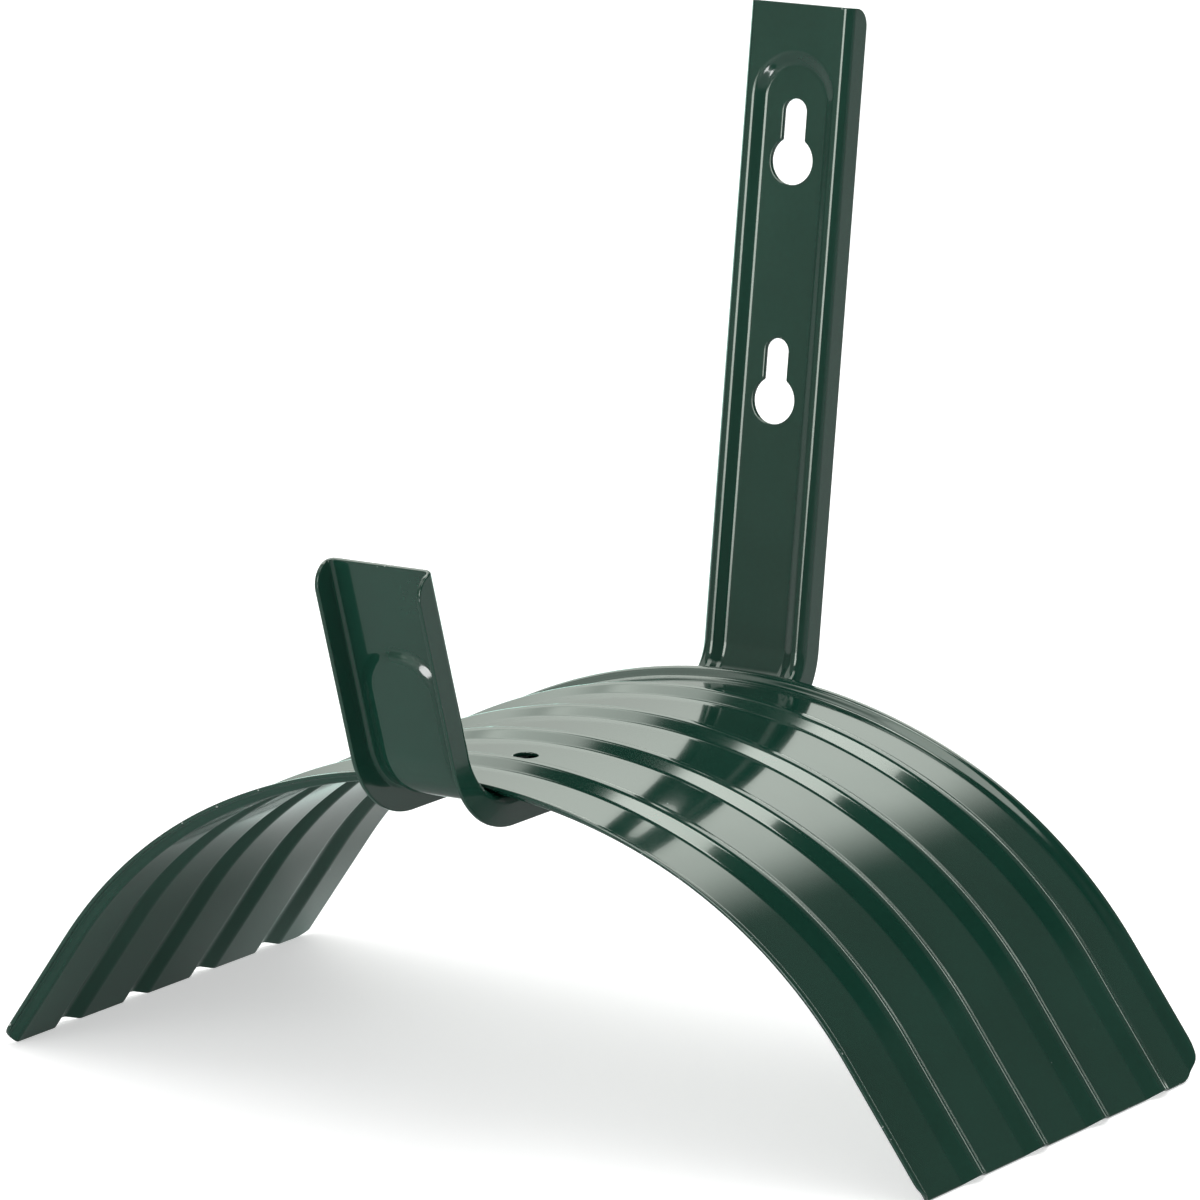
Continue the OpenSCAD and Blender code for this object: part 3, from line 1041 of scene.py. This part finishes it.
@dataclass
class Studio:
    """The white table, the soft lamps, the surroundings that the enamel mirrors, and the camera."""

    slope: Slope
    floor_drop: float = 88.6
    floor_half: float = 6000
    # Shade of the table, and its shade in the enamel's mirror
    floor_white: float = 0.9
    floor_mirrored: float = 0.42
    # Glow of the table, then in the enamel's mirror near the part and to the rear left, and its tint there.
    # The brighter glow to the rear left is painted light: a painted pool of light on the table, seen only in
    # the mirror, and its green tint is painted bounce light off the enamel
    floor_glow: float = 0.5
    floor_near: float = 0.1
    floor_left_painted_glow: float = 1.15
    floor_painted_bounce_tint: Triple = (0.5, 1, 0.85)
    # Where the painted pool of light at the rear left fades in, across the part's width and towards the wall,
    # in metres
    left_x: tuple[float, float] = (-0.17, -0.11)
    rear_y: tuple[float, float] = (-0.07, 0.04)
    # Tint of all that the enamel mirrors
    tint: Triple = (0.97, 1.03, 0.95)
    # Evenly soft light of the room, its dim wall and its dark ceiling in the enamel's mirror
    room: float = 0.5
    wall: float = 0.16
    ceiling: float = 0.035
    # Heights in degrees between which the wall turns into the ceiling
    ceiling_rise: tuple[float, float] = (38, 50)
    # Each window's turn, half, low, high, soft, dim and bright
    windows: tuple[SoftWindow, ...] = tuple(SoftWindow(*row) for row in (
        (-39.5, 36.5, -5, 38.5, 14, 0.42, 3.05),
        (-62, 15, 40, 56.5, 4, 2.9, 2.9),
        (-35, 45, 70.5, 84, 3, 8, 8),
        (-12, 16, -3, 12, 5, 2.2, 2.2),
        (-165, 10, 2.5, 34, 4, 8, 8),
        (-147, 30, 0, 50, 6, 0.26, 0.26),
        (-105, 22, 25, 58, 8, 1.2, 1.8),
        (178, 26, 50, 96, 6, 4, 4),
        (-135, 19, 61, 96, 6, 3, 3),
    ))
    lamps: tuple[Softbox, ...] = (
        Softbox("overhead_fill", (0, 70, 0), turn=30, rise=75, side=2.5, far=2.5, glow=1.5),
        Softbox("front_fill", (0, 70, 0), turn=-170, rise=20, side=2.2, far=2.5, glow=1.4),
        Softbox("front_spot", (6, -27.5, 40), turn=176, rise=-14, side=0.065, far=0.3, glow=12, gloss=True),
    )
    # The camera fitted to the photograph: its place in the level frame, its yaw, pitch and roll, its lens
    camera_at: Triple = (1239.902, -1798.072, 534.95)
    camera_turn: Triple = (33.5433, 12.585, -0.4441)
    camera_lens: float = 267.42

    def direction(self, turn: float, rise: float) -> Vector:
        """A direction from the saddle, in the part's frame.

        Args:
            turn: Its bearing in degrees, from the way into the wall towards the right.
            rise: Its height in degrees above the saddle's level.

        Returns:
            The unit vector.
        """
        turn, rise = math.radians(turn), math.radians(rise)
        level = Vector((math.sin(turn) * math.cos(rise), math.cos(turn) * math.cos(rise), math.sin(rise)))
        return Matrix.Rotation(math.radians(self.slope.lean), 3, "X") @ level

    def build_floor(self) -> None:
        """Lays the white table under the saddle's four corners. The enamel mirrors it as a grey one, with a
        painted pool of green-tinted light to the rear left.
        """
        h = self.floor_half
        flat = np.array([[-h, -h, 0.0], [h, -h, 0], [h, h, 0], [-h, h, 0]]) - [0, 0, self.floor_drop]
        floor = new_mesh("table", self.slope.to_part(flat), np.array([[0, 1, 2, 3]]), np.zeros(4))
        material = bpy.data.materials.new("white_table")
        n = Nodes(material)
        shader = n.tree.nodes["Principled BSDF"]
        path = n.add("ShaderNodeLightPath")
        mirrored = path.outputs["Is Glossy Ray"]
        shade = n.mix(mirrored, (self.floor_white,) * 3, (self.floor_mirrored,) * 3)
        shader.inputs["Roughness"].default_value = 0.6
        # Painted light: in the enamel's mirror the table glows brighter to the rear left, a painted pool of
        # light, tinted green as painted bounce light off the enamel
        where = n.add("ShaderNodeSeparateXYZ", {0: n.add("ShaderNodeTexCoord").outputs["Object"]})
        aside = n.between(where.outputs["X"], *self.left_x, 1, 0, True)
        behind = n.between(where.outputs["Y"], *self.rear_y, 0, 1, True)
        far = n.math("MULTIPLY", aside, behind)
        more = n.between(far, 0, 1, self.floor_near - self.floor_glow, self.floor_left_painted_glow - self.floor_glow)
        painted_bounce_colour = n.mix(n.math("MULTIPLY", mirrored, far), (1, 1, 1), self.floor_painted_bounce_tint)
        glow = n.math("ADD", n.math("MULTIPLY", mirrored, more), self.floor_glow)
        n.feed(shader, {"Base Color": shade, "Emission Color": painted_bounce_colour, "Emission Strength": glow})
        floor.data.materials.append(material)

    def build_world(self) -> None:
        """Sets the surroundings: white to the camera, a room with windows to the gloss, and even light."""
        world = bpy.data.worlds.new("studio")
        bpy.context.scene.world = world
        n = Nodes(world)
        way = n.add("ShaderNodeTexCoord").outputs["Generated"]
        right, ahead, up = (n.dot(way, self.direction(*where)) for where in ((90, 0), (0, 0), (0, 90)))
        turn = n.math("DEGREES", n.math("ARCTAN2", right, ahead))
        rise = n.math("DEGREES", n.math("ARCSINE", up))
        mirrored = n.between(rise, *self.ceiling_rise, self.wall, self.ceiling, True)
        for window in self.windows:
            mirrored = n.math("ADD", mirrored, window.glow(n, turn, rise))
        path = n.add("ShaderNodeLightPath")
        even = n.tree.nodes["Background"]
        even.inputs[0].default_value = (1, 1, 1, 1)
        even.inputs[1].default_value = self.room
        gloss = n.add("ShaderNodeBackground", {1: mirrored}, {0: (*self.tint, 1)})
        white = n.add("ShaderNodeBackground", None, {0: (1, 1, 1, 1)})
        whole = even.outputs[0]
        for ray, seen in (("Is Glossy Ray", gloss), ("Is Camera Ray", white)):
            parts = {0: path.outputs[ray], 1: whole, 2: seen.outputs[0]}
            whole = n.add("ShaderNodeMixShader", parts).outputs[0]
        n.feed(n.tree.nodes["World Output"], {0: whole})

    def add_lamp(self, box: Softbox) -> None:
        """Adds a softbox, whose power is its radiance times pi times its area.

        Args:
            box: The softbox.
        """
        data = bpy.data.lights.new(box.name, "AREA")
        data.size = box.side
        data.energy = box.glow * math.pi * box.side**2
        lamp = bpy.data.objects.new(box.name, data)
        bpy.context.scene.collection.objects.link(lamp)
        to = self.direction(box.turn, box.rise)
        lamp.location = Vector(self.slope.to_part(np.array(box.aim)) * MM) + to * box.far
        lamp.rotation_euler = to.to_track_quat("Z", "Y").to_euler()
        lamp.visible_camera = False
        lamp.visible_glossy = box.gloss
        lamp.visible_diffuse = not box.gloss

    def build_camera(self) -> None:
        """Sets up the camera at the photograph's place and angle."""
        data = bpy.data.cameras.new("camera")
        data.lens = self.camera_lens
        data.clip_start, data.clip_end = 0.1, 60
        camera = bpy.data.objects.new("camera", data)
        bpy.context.scene.collection.objects.link(camera)
        yaw, pitch, roll = (math.radians(v) for v in self.camera_turn)
        turn = (Matrix.Rotation(math.radians(self.slope.lean), 3, "X") @ Matrix.Rotation(yaw, 3, "Z")
                @ Matrix.Rotation(math.pi / 2 - pitch, 3, "X") @ Matrix.Rotation(roll, 3, "Z"))
        camera.rotation_euler = turn.to_euler()
        camera.location = Vector(self.slope.to_part(np.array(self.camera_at)) * MM)
        bpy.context.scene.camera = camera

    def build(self) -> None:
        """Builds the table, the surroundings, the lamps and the camera."""
        self.build_floor()
        self.build_world()
        self.build_camera()
        for box in self.lamps:
            self.add_lamp(box)
        bpy.context.scene.view_settings.view_transform = "Standard"


def main() -> None:
    """Builds the hanger and its studio."""
    logging.basicConfig(level=logging.INFO, format="%(message)s")
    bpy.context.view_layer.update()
    slope = Slope()
    saddle = Saddle(slope)
    strip = BracketStrip(saddle)
    welds = TackWelds(saddle, strip)
    enamel = GlossEnamel("green_gloss_enamel")
    for part in (saddle, strip):
        part.build()
        part.dress(enamel)
    welds.build()
    welds.dress(GlossEnamel("weld_gloss_enamel", peel=0.02))
    Studio(slope).build()


if __name__ == "__main__":
    main()
